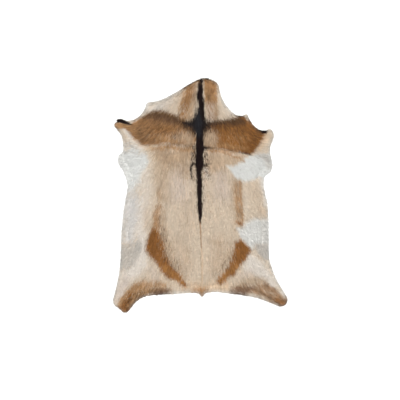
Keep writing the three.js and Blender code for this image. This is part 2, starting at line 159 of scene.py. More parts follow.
MARKINGS = [
    ("upper back, left", "rose", 40, 0.8, "line", [(-80, 110, 34), (-85, 10, 34)]),
    ("upper back, right", "rose", 34, 0.8, "line", [(72, 90, 22), (90, 10, 30)]),
    ("upper back, shade", "light_tan", 44, 0.4, "line", [(-74, 112, 40), (56, 112, 30)]),
    ("middle back", "sand", 36, 0.4, "line", [(-50, -40, 26), (-50, -150, 26)]),
    ("back, ticks", "light_tan", 30, 0.12, "ticks", [(0, 130, 110), (0, 0, 110), (0, -60, 90)]),
    ("left flank", "white", 26, 1.0, "line", [(-266, 170, 32), (-272, 80, 50), (-282, 36, 30)]),
    ("left belly", "off_white", 28, 1.0, "line", [(-272, -26, 36), (-270, -100, 38), (-284, -170, 26)]),
    ("left flank, inner", "pale", 22, 0.55, "line", [
        (-222, 110, 18), (-218, 20, 24), (-226, -60, 26), (-234, -130, 20),
    ]),
    ("left flank, blush", "peach", 14, 0.25, "line", [(-226, 120, 8), (-226, 60, 8)]),
    ("left belly, lower", "pale", 22, 1.0, "line", [
        (-246, -130, 20), (-232, -200, 24), (-238, -270, 32), (-292, -326, 24), (-320, -390, 14),
    ]),
    ("left belly, inner", "sand", 14, 0.5, "line", [(-212, -60, 8), (-214, -130, 8)]),
    # The grey patch is partly grey hair and partly painted shade of a gentle fold; the grey line is painted
    # shade along the fold, and the pale line on the thigh is painted light on the lit side of a fold
    ("left belly shade", "grey", 14, 0.8, "patch", [
        (-335, -206), (-285, -202), (-243, -180), (-233, -194), (-236, -219), (-246, -249), (-258, -272),
        (-280, -294), (-335, -306),
    ]),
    ("left belly, fold", "grey", 4, 0.5, "line", [
        (-243, -174, 1), (-233, -194, 3), (-236, -219, 3), (-246, -249, 1),
    ]),
    ("left thigh, light fold", "pale", 8, 0.8, "line", [(-222, -190, 5), (-226, -240, 6), (-240, -290, 8)]),
    ("left thigh, outer edge", "rose", 16, 0.6, "line", [
        (-296, -335, 14), (-320, -390, 18), (-338, -424, 12),
    ]),
    ("left thigh", "rose", 18, 0.7, "line", [(-192, -296, 10), (-180, -330, 12)]),
    ("right thigh", "pale", 20, 1.0, "line", [
        (196, -236, 12), (206, -276, 36), (250, -310, 26), (292, -356, 16),
    ]),
    ("right thigh, inner", "rose", 18, 0.5, "line", [(160, -322, 10), (200, -312, 14)]),
    ("right flank, blotch", "sand", 10, 0.8, "line", [(238, -48, 9), (256, -70, 12)]),
    ("right flank, pale", "pale", 12, 0.15, "line", [(184, 20, 6), (186, -40, 8), (188, -80, 8)]),
    ("right flank, outer", "pale", 14, 1.0, "line", [(246, 60, 13), (258, 20, 14), (264, -30, 10)]),
    ("right flank, wash", "sand", 20, 0.45, "line", [(215, 50, 16), (228, 0, 22)]),
    ("withers, left", "light_tan", 26, 1.0, "line", [(-176, 176, 12), (-120, 144, 36), (-44, 160, 30)]),
    ("withers, left blotch", "light_tan", 16, 0.85, "line", [
        (-172, 150, 6), (-140, 160, 12), (-132, 134, 8),
    ]),
    ("withers, left, by the stripe", "light_tan", 24, 0.7, "line", [(-64, 120, 16), (-56, 84, 14)]),
    ("withers, right", "light_tan", 20, 0.75, "patch", [
        (14, 182), (60, 178), (140, 166), (192, 158), (178, 140), (150, 120), (120, 112), (60, 92),
        (16, 86),
    ]),
    ("back, left edge", "light_tan", 14, 0.5, "patch", [
        (-184, 200), (-180, 60), (-172, -24), (-146, -24), (-136, 60), (-118, 200),
    ]),
    ("left side", "light_tan", 26, 0.5, "line", [(-136, 110, 16), (-136, 60, 14), (-134, -20, 14)]),
    ("loin, left", "sand", 30, 0.8, "line", [(-90, -190, 24), (-60, -280, 30)]),
    ("loin, left blotch", "light_tan", 14, 0.5, "line", [(-52, -215, 5), (-56, -262, 8)]),
    ("loin, right", "sand", 34, 0.9, "line", [(80, -180, 22), (60, -290, 30)]),
    ("loin, right haze", "light_tan", 34, 0.25, "line", [(86, -200, 20), (70, -250, 26), (52, -300, 22)]),
    ("loin, right blotch", "light_tan", 14, 0.5, "line", [(44, -182, 8), (78, -192, 8)]),
    ("rump", "peach", 20, 0.9, "line", [(-50, -362, 14), (104, -364, 18)]),
    ("left throat", "pale", 20, 0.75, "line", [(-90, 405, 14), (-150, 360, 20), (-200, 338, 14)]),
    ("left throat, upper", "light_tan", 22, 0.6, "line", [
        (-64, 412, 12), (-100, 392, 14), (-140, 368, 10),
    ]),
    ("left throat, shade", "grey", 16, 0.55, "line", [(-120, 385, 10), (-165, 350, 14)]),
    ("left throat, edge", "off_white", 12, 0.9, "line", [(-212, 364, 9), (-232, 335, 9)]),
    ("neck, left wash", "light_tan", 14, 0.8, "line", [
        (-34, 432, 8), (-38, 400, 12), (-48, 350, 24), (-54, 312, 34),
    ]),
    ("neck, left, by the stripe", "light_tan", 12, 1.0, "line", [
        (-22, 452, 10), (-24, 420, 14), (-30, 390, 16), (-38, 350, 16), (-44, 312, 14),
    ]),
    ("neck, left, grey hair", "smoke", 12, 0.45, "line", [
        (-22, 456, 12), (-26, 424, 12), (-26, 396, 10), (-20, 370, 6),
    ]),
    ("neck, left brush", "tan", 12, 1.0, "line", [
        (-44, 436, 8), (-50, 412, 17), (-54, 388, 19), (-62, 362, 20), (-64, 340, 20), (-68, 312, 16),
    ]),
    ("neck, left brush, top", "fawn", 10, 0.95, "line", [
        (-40, 434, 11), (-43, 404, 12), (-60, 360, 8), (-72, 316, 9),
    ]),
    ("neck, left ticks", "fawn", 12, 0.35, "ticks", [(-58, 380, 14), (-60, 330, 20)]),
    ("neck, left light ticks", "sand", 12, 0.3, "ticks", [(-64, 352, 14), (-64, 318, 18)]),
    ("neck, right wash", "light_tan", 9, 0.9, "patch", [
        (14, 462), (36, 466), (62, 454), (65, 420), (68, 380), (72, 340), (70, 298), (24, 298), (20, 340),
        (16, 400),
    ]),
    ("neck, right brush", "tan", 9, 1.0, "patch", [
        (14, 460), (36, 466), (62, 454), (65, 420), (67, 376), (44, 366), (18, 374),
    ]),
    ("neck, right top", "fawn", 10, 1.0, "line", [(24, 450, 11), (46, 438, 12), (44, 412, 9)]),
    ("neck, right spot", "umber", 10, 0.6, "line", [(30, 404, 7), (34, 390, 8)]),
    ("neck, right streak", "tan", 9, 0.5, "line", [(62, 372, 4), (65, 340, 4), (60, 304, 5)]),
    ("neck, right pale", "rose", 14, 0.6, "line", [(40, 356, 12), (40, 312, 14)]),
    ("neck, right ticks", "fawn", 10, 0.3, "ticks", [(40, 380, 16), (44, 320, 16)]),
    ("neck, right throat", "pale", 10, 0.3, "line", [
        (84, 400, 6), (98, 350, 14), (120, 330, 16), (170, 322, 6),
    ]),
    ("left shoulder", "fawn", 7, 1.0, "patch", [
        (-216, 319), (-200, 331), (-176, 336), (-148, 338), (-120, 333), (-96, 322), (-76, 310),
        (-56, 299), (-32, 277), (-12, 257), (-14, 221), (-24, 193), (-60, 198), (-120, 206), (-160, 206),
        (-188, 199), (-212, 194), (-236, 200), (-256, 214), (-276, 231), (-292, 249), (-312, 265),
        (-332, 271), (-340, 283), (-328, 291), (-300, 287), (-276, 285), (-256, 299), (-236, 311),
    ]),
    ("left shoulder, outer", "tan", 20, 0.6, "line", [(-276, 268, 8), (-240, 256, 14)]),
    ("left shoulder, orange", "ochre", 20, 0.6, "line", [(-184, 262, 8), (-150, 266, 12), (-106, 262, 12)]),
    ("left shoulder, middle", "tan", 18, 0.8, "line", [(-160, 232, 8), (-120, 224, 14), (-90, 226, 12)]),
    ("left shoulder, inner", "light_tan", 26, 1.0, "line", [
        (-104, 232, 10), (-52, 234, 24), (-44, 210, 18),
    ]),
    ("left shoulder, top", "umber", 14, 0.85, "line", [
        (-226, 308, 5), (-200, 318, 12), (-165, 320, 18), (-130, 314, 19), (-98, 303, 16), (-76, 294, 12),
        (-54, 286, 9),
    ]),
    ("left shoulder, top ticks", "smoke", 16, 0.35, "ticks", [
        (-204, 308, 10), (-150, 306, 16), (-90, 288, 12),
    ]),
    ("left shoulder, dark ticks", "umber", 24, 0.4, "ticks", [
        (-250, 262, 14), (-206, 248, 30), (-150, 262, 24), (-100, 258, 16),
    ]),
    ("left shoulder, lower ticks", "light_tan", 20, 0.12, "ticks", [(-210, 232, 8), (-140, 226, 16)]),
    ("left shoulder, low corner", "umber", 12, 0.35, "line", [
        (-244, 226, 6), (-206, 214, 6), (-176, 216, 4),
    ]),
    ("right shoulder", "chestnut", 7, 1.0, "patch", [
        (20, 289), (48, 293), (80, 301), (120, 303), (144, 311), (164, 317), (180, 311), (200, 293),
        (220, 277), (240, 263), (270, 259), (270, 247), (264, 233), (244, 209), (230, 189), (218, 173),
        (204, 161), (180, 167), (144, 174), (100, 182), (60, 188), (16, 192), (12, 229), (16, 261),
    ]),
    ("right shoulder, orange", "ochre", 20, 0.4, "line", [(100, 250, 12), (170, 240, 16)]),
    ("right shoulder, inner", "light_tan", 20, 1.0, "patch", [
        (0, 268), (44, 268), (68, 252), (72, 222), (64, 192), (0, 190),
    ]),
    ("right shoulder, low", "tan", 11, 0.75, "line", [
        (76, 202, 8), (112, 198, 9), (146, 192, 7), (186, 188, 3),
    ]),
    ("right shoulder, top", "umber", 14, 0.9, "line", [
        (34, 284, 5), (80, 289, 13), (120, 293, 20), (152, 296, 18), (176, 294, 9),
    ]),
    ("right shoulder, edge ticks", "sand", 7, 0.5, "ticks", [(76, 304, 3), (120, 308, 4), (166, 317, 4)]),
    ("right shoulder, dark ticks", "umber", 22, 0.35, "ticks", [
        (60, 262, 14), (140, 250, 30), (214, 232, 20),
    ]),
    ("right shoulder, inner ticks", "umber", 10, 0.14, "ticks", [(34, 246, 8), (44, 214, 16)]),
    ("right shoulder, light ticks", "tan", 18, 0.4, "ticks", [(90, 230, 14), (170, 220, 18)]),
    ("right shoulder, low corner", "umber", 10, 0.2, "line", [(150, 184, 4), (186, 179, 8), (208, 172, 6)]),
    ("right shoulder, end", "umber", 9, 0.5, "line", [(224, 258, 5), (250, 246, 7)]),
    ("right leg strip", "cream", 6, 1.0, "patch", [
        (272, 262), (286, 270), (298, 236), (289, 215), (280, 170), (250, 150), (208, 156), (228, 180),
        (244, 206), (264, 232),
    ]),
    ("right leg strip, yellow", "peach", 8, 0.8, "line", [(266, 244, 7), (250, 204, 8), (226, 176, 7)]),
    ("right elbow", "white", 7, 1.0, "patch", [
        (106, 119), (128, 113), (148, 121), (164, 133), (180, 149), (200, 157), (216, 160), (240, 168),
        (290, 168), (296, 120), (284, 95), (264, 76), (248, 70), (228, 70), (208, 63), (184, 57),
        (160, 57), (144, 65), (132, 81), (120, 101),
    ]),
    ("right armpit", "grey", 18, 1.0, "line", [(238, 162, 8), (266, 150, 14), (276, 116, 10)]),
    ("left armpit", "grey", 16, 0.75, "line", [(-290, 200, 12), (-256, 190, 10)]),
    ("left elbow", "white", 12, 0.95, "patch", [
        (-350, 172), (-262, 180), (-220, 168), (-205, 135), (-225, 95), (-300, 90), (-350, 110),
    ]),
    # Painted shade along a fold at the left elbow
    ("left elbow, fold", "grey", 7, 0.6, "line", [(-304, 176, 4), (-262, 166, 5), (-236, 160, 3)]),
    ("left leg strip", "pale", 7, 0.95, "line", [
        (-306, 262, 5), (-282, 234, 9), (-256, 205, 10), (-230, 188, 7),
    ]),
    ("left shoulder, below", "light_tan", 14, 1.0, "line", [(-206, 188, 7), (-150, 182, 9)]),
    ("left leg strip, orange", "peach", 5, 0.7, "line", [(-268, 226, 3), (-240, 200, 4), (-206, 186, 3)]),
    ("left leg end", "tan", 5, 1.0, "patch", [
        (-350, 283), (-338, 293), (-300, 287), (-272, 281), (-282, 264), (-306, 270), (-322, 264),
        (-350, 262),
    ]),
    # Painted shade: the dark lines in the two creases across the shoulders, the shade just below them, and
    # the dark lines of the fold under the right crease
    ("crease, right", "umber", 3.5, 0.9, "line", [
        (14, 192, 6), (30, 190, 4.5), (60, 186, 4), (92, 182, 3.5), (140, 175, 3), (202, 164, 4),
    ]),
    ("crease, left", "umber", 4, 0.9, "line", [
        (-140, 208, 1), (-104, 204, 2.5), (-60, 197, 3.5), (-16, 191, 4),
    ]),
    ("crease, left, shade", "fawn", 10, 0.55, "line", [(-148, 210, 6), (-128, 202, 6), (-100, 190, 8)]),
    ("crease, left, below", "tan", 9, 0.9, "line", [(-190, 190, 5), (-110, 190, 8), (-24, 180, 8)]),
    ("fold under the crease", "tan", 6, 0.95, "line", [
        (24, 182, 2), (92, 172, 4), (140, 156, 3), (176, 138, 1),
    ]),
    ("crease, right, below", "tan", 8, 0.8, "line", [(26, 184, 3), (80, 178, 6), (150, 171, 3)]),
    ("fold under the crease, dark", "fawn", 4, 0.7, "line", [
        (36, 180, 1.5), (92, 171, 2.5), (150, 150, 2),
    ]),
    ("between the folds", "peach", 8, 0.25, "line", [(70, 179, 3), (124, 166, 4)]),
    ("left hind leg, haze", "tan", 20, 1.0, "line", [(-258, -362, 10), (-222, -356, 15), (-140, -358, 8)]),
    ("left hind leg", "tan", 9, 0.95, "patch", [
        (-330, -448), (-318, -462), (-300, -480), (-280, -470), (-262, -440), (-246, -416), (-226, -402),
        (-200, -396), (-166, -396), (-130, -384), (-118, -374), (-150, -368), (-190, -370), (-215, -364),
        (-242, -350), (-268, -358), (-294, -378), (-314, -402), (-328, -426),
    ]),
    ("left hind leg, dark", "smoke", 9, 0.9, "line", [(-186, -387, 6), (-165, -388, 11), (-128, -382, 9)]),
    ("left hind leg, end", "brown", 10, 1.0, "line", [
        (-280, -399, 10), (-288, -420, 12), (-304, -448, 13), (-290, -456, 12),
    ]),
    ("left hind leg, low edge", "umber", 7, 0.4, "line", [
        (-226, -398, 3), (-256, -416, 4), (-280, -450, 5),
    ]),
    ("left hind leg, ticks", "umber", 9, 0.45, "ticks", [
        (-300, -440, 14), (-256, -396, 12), (-160, -380, 8),
    ]),
    ("left hind leg, light ticks", "sand", 9, 0.12, "ticks", [
        (-304, -412, 6), (-256, -385, 10), (-200, -376, 6),
    ]),
    ("right hind leg, haze", "light_tan", 20, 0.85, "line", [
        (130, -368, 8), (184, -352, 12), (218, -340, 13), (262, -346, 6),
    ]),
    ("right hind leg", "fawn", 9, 0.85, "patch", [
        (128, -375), (144, -365), (176, -357), (208, -362), (228, -356), (250, -352), (272, -354),
        (300, -374), (324, -399), (354, -415), (354, -435), (324, -446), (304, -434), (272, -415),
        (240, -399), (208, -391), (176, -395), (144, -391),
    ]),
    ("right hind leg, light ticks", "sand", 9, 0.3, "ticks", [
        (236, -370, 10), (260, -378, 12), (300, -400, 10),
    ]),
    ("right hind leg, dark", "smoke", 12, 0.95, "line", [
        (124, -380, 8), (158, -382, 13), (188, -376, 12), (212, -370, 7),
    ]),
    ("right hind leg, low edge", "umber", 7, 0.6, "line", [(240, -388, 3), (280, -408, 4), (314, -430, 6)]),
    ("right hind leg, end", "brown", 8, 0.75, "line", [(304, -414, 8), (334, -428, 8)]),
    ("right hind leg, pale end", "pale", 7, 0.8, "line", [(322, -388, 4), (344, -404, 5)]),
    ("hind edge, left", "pale", 8, 0.7, "line", [(-100, -390, 5), (-60, -388, 4)]),
    ("hind edge, right", "pale", 8, 0.8, "line", [
        (60, -386, 4), (130, -400, 5), (200, -408, 5), (270, -432, 5), (304, -440, 4),
    ]),
    ("tail, root", "ochre", 9, 0.75, "line", [(-30, -378, 5), (0, -374, 9), (26, -376, 6)]),
    ("tail", "ochre", 6, 0.7, "line", [(4, -380, 8), (8, -410, 6)]),
    ("left band, spots", "light_tan", 10, 0.9, "line", [(-166, 20, 7), (-164, 0, 9), (-158, -16, 7)]),
    ("left band, upper", "tan", 12, 0.7, "line", [(-164, -38, 8), (-169, -72, 17), (-174, -116, 19)]),
    ("left band, upper ticks", "fawn", 10, 0.4, "ticks", [
        (-166, -40, 5), (-174, -80, 12), (-176, -120, 14),
    ]),
    ("left band, inner shade", "light_tan", 20, 0.75, "line", [
        (-150, -60, 6), (-146, -130, 14), (-136, -205, 24), (-116, -262, 20), (-84, -294, 14),
        (-58, -325, 8),
    ]),
    ("left band, inner haze", "tan", 18, 0.6, "line", [
        (-176, -112, 10), (-164, -170, 14), (-158, -215, 8),
    ]),
    ("left band", "brown", 9, 1.0, "patch", [
        (-194, -128), (-208, -179), (-220, -219), (-204, -242), (-170, -276), (-160, -299), (-130, -331),
        (-92, -343), (-60, -375), (-54, -356), (-84, -309), (-118, -275), (-142, -223), (-148, -179),
        (-168, -128),
    ]),
    ("left band, dark", "chestnut", 10, 0.7, "line", [(-192, -165, 8), (-194, -212, 16), (-176, -240, 14)]),
    ("left band, lower", "ochre", 16, 0.9, "line", [(-150, -284, 8), (-112, -316, 10), (-76, -342, 8)]),
    ("left band, ticks", "umber", 16, 0.22, "ticks", [
        (-162, -110, 6), (-148, -180, 18), (-134, -236, 18), (-104, -280, 14), (-82, -304, 8),
    ]),
    ("left band, light ticks", "light_tan", 12, 0.25, "ticks", [
        (-168, -130, 6), (-156, -190, 10), (-146, -240, 10),
    ]),
    ("right band, haze", "light_tan", 20, 0.55, "line", [
        (128, 66, 6), (132, 0, 8), (134, -60, 10), (144, -140, 8),
    ]),
    ("right band", "light_tan", 9, 0.9, "patch", [
        (132, 60), (160, 60), (170, 30), (168, -30), (172, -90), (174, -108), (160, -128), (148, -120),
        (142, -80), (134, -20), (130, 20),
    ]),
    ("right band, left side", "tan", 8, 0.6, "line", [(143, 40, 4), (143, -20, 5), (149, -80, 4)]),
    ("right band, dark side", "tan", 6, 0.8, "line", [
        (160, 50, 3), (162, 0, 4), (165, -60, 4), (168, -100, 4),
    ]),
    ("right band, upper spot", "tan", 7, 0.9, "line", [(146, -4, 3), (154, -18, 7)]),
    ("right band, lower spot", "tan", 7, 0.8, "line", [(152, -56, 6), (160, -70, 7)]),
    ("right band, end", "brown", 8, 0.9, "line", [(150, -110, 7), (166, -112, 8)]),
    ("right belly", "white", 9, 0.9, "patch", [
        (143, -128), (164, -132), (184, -110), (208, -96), (250, -94), (300, -96), (300, -180),
        (250, -200), (222, -200), (206, -216), (196, -210), (164, -178), (156, -152),
    ]),
    ("right belly, outer", "grey", 18, 0.4, "line", [(258, -96, 14), (262, -180, 18)]),
    # Partly grey hair and partly painted shade of a gentle fold on the right belly
    ("right belly shade", "grey", 11, 0.95, "patch", [
        (212, -196), (290, -190), (290, -262), (262, -262), (236, -238),
    ]),
    ("right loin, inner shade", "light_tan", 20, 0.5, "line", [
        (130, -186, 6), (116, -235, 20), (98, -275, 16), (82, -308, 6),
    ]),
    ("right loin, inner haze", "tan", 20, 0.15, "line", [(142, -190, 12), (122, -250, 14), (104, -288, 8)]),
    ("right loin", "brown", 8, 1.0, "patch", [
        (160, -174), (190, -199), (206, -223), (180, -257), (155, -284), (141, -315), (106, -337),
        (80, -356), (64, -350), (68, -338), (96, -305), (117, -275), (131, -229), (140, -187),
    ]),
    ("right loin, dark", "chestnut", 9, 0.6, "line", [(164, -192, 6), (184, -216, 10), (172, -244, 8)]),
    ("right loin, lower", "ochre", 14, 1.0, "line", [(146, -282, 8), (110, -314, 9), (80, -342, 6)]),
    ("right loin, ticks", "umber", 14, 0.14, "ticks", [
        (134, -200, 8), (114, -250, 16), (88, -294, 12), (64, -328, 6),
    ]),
    ("right loin, light ticks", "light_tan", 12, 0.25, "ticks", [
        (140, -210, 6), (128, -262, 10), (98, -300, 10),
    ]),
    ("cross, haze", "smoke", 16, 0.8, "line", [(-66, 285, 4), (-4, 272, 34), (62, 284, 4)]),
    ("cross", "soot", 11, 1.0, "line", [
        (-4, 340, 11), (-5, 320, 18), (-5, 301, 26), (-5, 285, 34), (-5, 270, 33), (-4, 256, 24),
        (-3, 240, 17), (-2, 215, 13),
    ]),
    ("cross, left arm", "soot", 8, 1.0, "line", [(-5, 282, 24), (-36, 284, 16), (-64, 290, 7)]),
    ("cross, right arm", "soot", 10, 0.5, "line", [(-5, 282, 24), (32, 280, 11), (56, 284, 3)]),
    ("cross, left haze", "umber", 12, 1.0, "line", [(-72, 278, 5), (-46, 269, 11), (-24, 260, 10)]),
    ("cross, right haze", "umber", 12, 0.6, "line", [(22, 256, 6), (18, 238, 4)]),
    ("cross, ticks", "soot", 16, 0.5, "ticks", [(-84, 288, 4), (-5, 278, 44), (78, 286, 4)]),
    ("stripe, left wisps", "soot", 9, 0.55, "ticks", [(-22, 200, 8), (-26, 170, 14), (-26, 128, 10)]),
    ("stripe, right wisps", "soot", 9, 0.55, "ticks", [
        (22, 186, 7), (24, 165, 10), (24, 145, 10), (18, 100, 9),
    ]),
    ("stripe, low left wisps", "soot", 6, 0.3, "ticks", [(-14, 60, 5), (-10, -70, 4)]),
    ("stripe, low right wisps", "soot", 6, 0.25, "ticks", [(14, 60, 5), (10, -70, 4)]),
    ("left whorl, pale", "sand", 5, 0.45, "line", [(-26, 112, 5), (-23, 76, 5)]),
    ("right whorl, pale", "pale", 6, 0.5, "line", [(22, 106, 6), (28, 76, 8)]),
    ("right whorl, ticks", "umber", 8, 0.4, "ticks", [(24, 108, 10), (32, 72, 12)]),
    ("left whorl, ticks", "umber", 8, 0.35, "ticks", [(-26, 100, 8), (-28, 66, 8)]),
    ("stripe", "black", 3.5, 1.0, "line", [
        (0, 468, 9), (-1, 452, 11), (1, 435, 9.5), (2, 418, 11.5), (-3, 397, 12.5), (2, 385, 15),
        (5, 368, 11.5), (6, 350, 11), (8, 330, 10), (8, 310, 10), (2, 292, 12), (-2, 275, 13),
        (-3, 261, 13), (-1, 241, 16), (-1, 221, 15), (-1, 201, 17), (-1, 181, 17), (-3, 166, 15),
        (-2, 150, 15.5), (-2, 135, 17), (-2, 121, 19), (-4, 102, 13), (-5, 81, 11), (-3, 61, 12),
        (-2, 21, 10.5), (-2, -19, 9), (-1, -59, 9), (1, -77, 8), (0, -99, 5), (1, -114, 2),
    ]),
    ("cross, slate hair", "slate", 12, 0.85, "line", [
        (-9, 334, 5), (-9, 312, 10), (-6, 292, 16), (-5, 262, 14), (-2, 236, 5),
    ]),
    ("cross, slate arm", "slate", 10, 0.4, "line", [(-50, 284, 8), (-20, 278, 14)]),
    ("stripe, wedge", "black", 3, 1.0, "line", [(10, 189, 9), (30, 189, 4), (44, 189, 1)]),
    ("left whorl", "soot", 3, 1.0, "line", [
        (-14, 125, 4), (-27, 127, 4.5), (-36, 116, 4), (-38, 97, 3), (-34, 72, 2),
    ]),
    ("right whorl", "soot", 3, 0.9, "line", [(14, 116, 3), (27, 125, 3), (44, 127, 2)]),
    ("parting, dark", "fawn", 2, 0.7, "line", [(1, -112, 2), (3, -180, 2.5), (6, -215, 1.5)]),
    ("parting, pale sides", "cream", 12, 0.6, "line", [(9, -250, 5), (10, -345, 8)]),
    ("parting, pale", "peach", 3, 0.8, "line", [(6, -210, 3), (9, -265, 3.5), (8, -370, 3)]),
    ("parting, edge", "light_tan", 2, 0.6, "line", [(2, -230, 1), (4, -290, 1.5), (4, -360, 1)]),
    ("left elbow rim", "white", 6, 1.0, "rim", [(-335, 176, 8), (-350, 145, 14), (-340, 108, 10)]),
    ("left neck, tan rim", "tan", 10, 0.5, "rim", [(-64, 414, 6), (-44, 432, 9), (-14, 450, 9)]),
    # Painted shadow: a thin dark line along the cut edge of the skin on the left of the neck
    ("left neck rim", "soot", 4, 1.0, "rim", [(-72, 426, 2), (-50, 442, 5), (-36, 450, 6), (-8, 466, 6)]),
    ("right neck rim", "soot", 4, 0.9, "rim", [(10, 471, 6), (30, 469, 6), (52, 462, 2)]),
    ("left leg rim", "black", 3, 1.0, "rim", [
        (-336, 301, 9), (-316, 297, 9), (-294, 288, 6), (-272, 281, 2),
    ]),
    ("right leg rim", "black", 3, 1.0, "rim", [(240, 260, 5), (250, 256, 9), (262, 254, 7)]),
    ("right shoulder rim", "umber", 3, 0.5, "rim", [(224, 276, 1), (244, 262, 3)]),
]

# Painted shade on the thin hair along the edge of the hide, where the edge casts a thin shadow: its
# strength, its lightness, and its reach inwards in mm

EDGE_SHADE = 0.55
EDGE_SHADE_LIGHTNESS = 1.4
EDGE_SHADE_REACH = 14.0

# Edges of the markings: how wide they blend for their softness, and how much of its tone a tick has

BLEND = 1.4
TICK_STRENGTH = 0.85

# Edges this soft or softer wander: how far and over what distance, in mm

WANDERING = 6
WANDERS = [(3.0, 22), (1.5, 8)]

# Places nearer the edge of the hide than this, in mm, take the colours that lie at this depth

EDGE_READ = 9

# Lie of the hair: place, x, y, the way that the hair points there, and how far that reaches in mm

HAIR_LIE = [
    ("neck", 0, 430, (0.0, -1.0), 50),
    ("left throat", -110, 370, (-0.55, -0.85), 50),
    ("right throat", 110, 360, (0.6, -0.8), 50),
    ("withers", 0, 230, (0.0, -1.0), 60),
    ("left shoulder", -130, 260, (-0.45, -0.9), 50),
    ("right shoulder", 130, 240, (0.45, -0.9), 50),
    ("left front leg", -290, 285, (-1.0, 0.1), 40),
    ("left front thigh", -215, 260, (-0.85, -0.5), 40),
    ("right front leg", 250, 240, (0.95, -0.1), 36),
    ("left elbow", -290, 150, (-0.97, -0.25), 45),
    ("right elbow", 250, 115, (0.95, -0.3), 45),
    ("back", 0, 60, (0.0, -1.0), 80),
    ("left side", -120, 20, (-0.12, -0.99), 60),
    ("right side", 120, 20, (0.12, -0.99), 60),
    ("left flank", -220, 10, (-0.4, -0.9), 60),
    ("right flank", 215, 0, (0.4, -0.9), 60),
    ("left belly", -290, -100, (-0.75, -0.65), 70),
    ("right belly", 255, -120, (0.75, -0.65), 70),
    ("loin", 0, -180, (0.0, -1.0), 80),
    ("left loin", -130, -180, (-0.05, -1.0), 60),
    ("right loin", 130, -180, (0.05, -1.0), 60),
    ("rump", 0, -330, (0.0, -1.0), 60),
    ("left thigh", -190, -310, (-0.35, -0.93), 60),
    ("right thigh", 190, -310, (0.4, -0.91), 60),
    ("left hind leg", -280, -420, (-0.5, -0.86), 50),
    ("right hind leg", 290, -400, (0.8, -0.6), 50),
]

# Whorls of the hair beside the stripe: x, y, reach, and their turn, positive against the clock

WHORLS = [
    (-28, 104, 14, 1.6),
    (30, 100, 14, -1.6),
]

# Length of the hair: place, x, y, reach, and the share of its length on the back

HAIR_LENGTHS = [
    ("left elbow", -300, 150, 45, 1.5),
    ("right elbow", 265, 110, 40, 1.4),
    ("left belly", -300, -120, 70, 1.25),
    ("right belly", 270, -180, 60, 1.25),
    ("left front leg", -300, 285, 40, 0.7),
    ("right front leg", 250, 250, 30, 0.75),
    ("left hind leg", -285, -420, 45, 0.75),
    ("right hind leg", 300, -405, 45, 0.75),
    ("left whorl", -30, 105, 20, 0.5),
    ("right whorl", 30, 108, 20, 0.5),
    ("crease, left end", -100, 196, 22, 0.75),
    ("crease, middle", 20, 188, 26, 0.6),
    ("crease, right", 110, 177, 30, 0.55),
    ("crease, right end", 190, 166, 26, 0.6),
    ("right hind edge", 180, -405, 60, 2.0),
    ("left neck edge", -60, 440, 45, 1.5),
    ("tail", 0, -375, 22, 1.3),
]

# Turn of the hair outwards near the edge: its strength, and its reach inwards in mm

EDGE_PULL = 1.4
PULL_REACH = 14

# How unlike the locks are: turns in radians, and shares of their length, gather, overhang and width

CLUMP_TURN = 0.05
LOCK_TURN = 0.06
SWAY = 0.04
LENGTH_RANGE = (0.75, 1.2)
GATHER_RANGE = (0.4, 1.0)
OVERHANG_RANGE = (-0.6, 1.0)
WIDTH_RANGE = (0.75, 1.25)

# How high locks lie in the coat: a small power keeps most of them near its top, a few lie deeper

LIFT_POWER = 0.08
CLUMP_LIFT = 0.01
LIFT_RANGE = (0.3, 1.04)

# Shape of a lock with one or two rings: the places of its points along it, their heights, and how full its
# rings are. The root's height is in mm above the skin, and the others are shares of the depth of the coat.

LOCK_SHAPES = {
    1: ((0, 0.36, 1), (-0.25, 0.86, 1.0), (1.0,)),
    2: ((0, 0.3, 0.65, 1), (-0.25, 0.7, 0.95, 1.0), (1.0, 0.75)),
}

# Section of a lock, in shares of half its width: how low its two sides hang, and how high its ridge stands

SIDE_DROP = 0.1
RIDGE_RISE = 0.14

# Least depth of the coat, how near the edge tips lie low, and the least height of those tips, in mm

LEAST_DEPTH = 0.3
LOW_TIPS = 2
LEAST_TIP = 0.4

# Place along a lock whose colour it takes, as a share: the mean and the spread

COLOUR_PLACE = (0.62, 0.12)

# Part that the clump, the streaks and the lock itself have in its grizzle, and its stray over soft edges

CLUMP_PART = 0.2
STREAK_PART = 0.6
LOCK_PART = 0.7
STRAY = 0.3

# Streaks along the hair: the stride they are followed by and their width in mm, their strength, and a seed

STREAKS = [(1.6, 3.5, 0.5, 21), (4, 9, 0.35, 22)]

# Grizzle: its strength on pale hair, what dark hair adds, and the lightness and span over which it does so

PALE_GRIZZLE = 0.035
DARK_GRIZZLE = 0.11
GRIZZLE_LIGHT = 0.68
GRIZZLE_SPAN = 0.45

# How light each part of a linear colour is to the eye, and the darkest and lightest that hair can be

LIGHTNESS = (0.2126, 0.7152, 0.0722)
HAIR_RANGE = (0.003, 0.86)

# Distance in mm from the edge of the hide to each row of roots of the longer hair there

RIM_ROWS = (5.0, 9.0, 14.0, 20.0)


# Random numbers that belong to a place

def chance(ix, iy, seed):
    """Return a number from -1 to 1 for each pair of whole numbers."""
    mixed = (ix.astype(np.int64) * 374761393 + iy.astype(np.int64) * 668265263 + seed * 974711) & 0xFFFFFFFF
    mixed = ((mixed ^ (mixed >> 13)) * 1274126177) & 0xFFFFFFFF
    return ((mixed ^ (mixed >> 16)) & 0xFFFFFF) / 0x7FFFFF - 1


def ease(value):
    """Turn a share from 0 to 1 into one that starts and ends gently."""
    value = np.clip(value, 0, 1)
    return value * value * (3 - 2 * value)


def lumps(x, y, size, seed):
    """Return smooth noise from -1 to 1 whose lumps are about size across."""
    ix, iy = np.floor(x / size), np.floor(y / size)
    fx, fy = ease(x / size - ix), ease(y / size - iy)
    low = chance(ix, iy, seed) * (1 - fx) + chance(ix + 1, iy, seed) * fx
    high = chance(ix, iy + 1, seed) * (1 - fx) + chance(ix + 1, iy + 1, seed) * fx
    return low * (1 - fy) + high * fy


